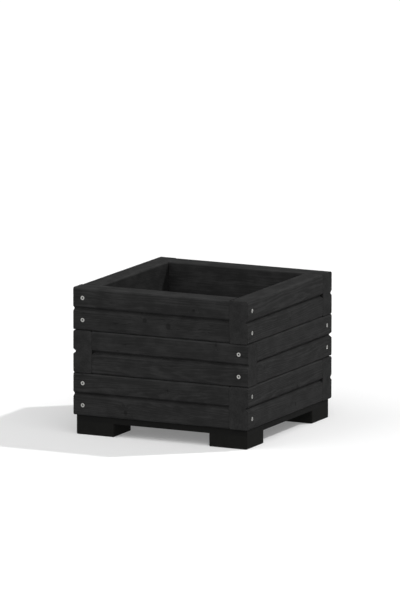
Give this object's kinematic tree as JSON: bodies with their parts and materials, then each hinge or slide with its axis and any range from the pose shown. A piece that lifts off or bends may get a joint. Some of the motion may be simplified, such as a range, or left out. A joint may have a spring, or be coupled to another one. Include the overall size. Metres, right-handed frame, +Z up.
{
  "type": "planter box",
  "caption": "Square open-topped timber planter box: three tiers of grooved black-stained beams, screwed at the corners, on a base plate and corner feet.",
  "frame": {"origin": "on the ground under the centre of the planter, level with the undersides of the feet", "axes": "+Z up, +X to the right and -Y towards the front; the bottom and top tiers turn anticlockwise seen from above"},
  "size_m": [0.65, 0.65, 0.501],
  "materials": {
    "stained_beam": "black-stained planed timber, satin",
    "dark_plate": "black film-faced plywood",
    "dark_foot": "black-stained timber block",
    "corner_screw_steel": "stainless, flat countersunk head",
    "hidden_screw_steel": "zinc-plated"
  },
  "bodies": {
    "root": {"bottom_front_beam": "stained_beam", "bottom_right_beam": "stained_beam", "bottom_back_beam": "stained_beam", "bottom_left_beam": "stained_beam", "middle_front_beam": "stained_beam", "middle_right_beam": "stained_beam", "middle_back_beam": "stained_beam", "middle_left_beam": "stained_beam", "top_front_beam": "stained_beam", "top_right_beam": "stained_beam", "top_back_beam": "stained_beam", "top_left_beam": "stained_beam", "base_plate": "dark_plate", "front_left_foot": "dark_foot", "back_left_foot": "dark_foot", "front_right_foot": "dark_foot", "back_right_foot": "dark_foot", "bottom_corner_screws": "corner_screw_steel", "middle_corner_screws": "corner_screw_steel", "top_corner_screws": "corner_screw_steel", "lower_stack_screws": "hidden_screw_steel", "upper_stack_screws": "hidden_screw_steel", "base_screws": "hidden_screw_steel", "foot_screws": "hidden_screw_steel"}
  },
  "joints": []
}
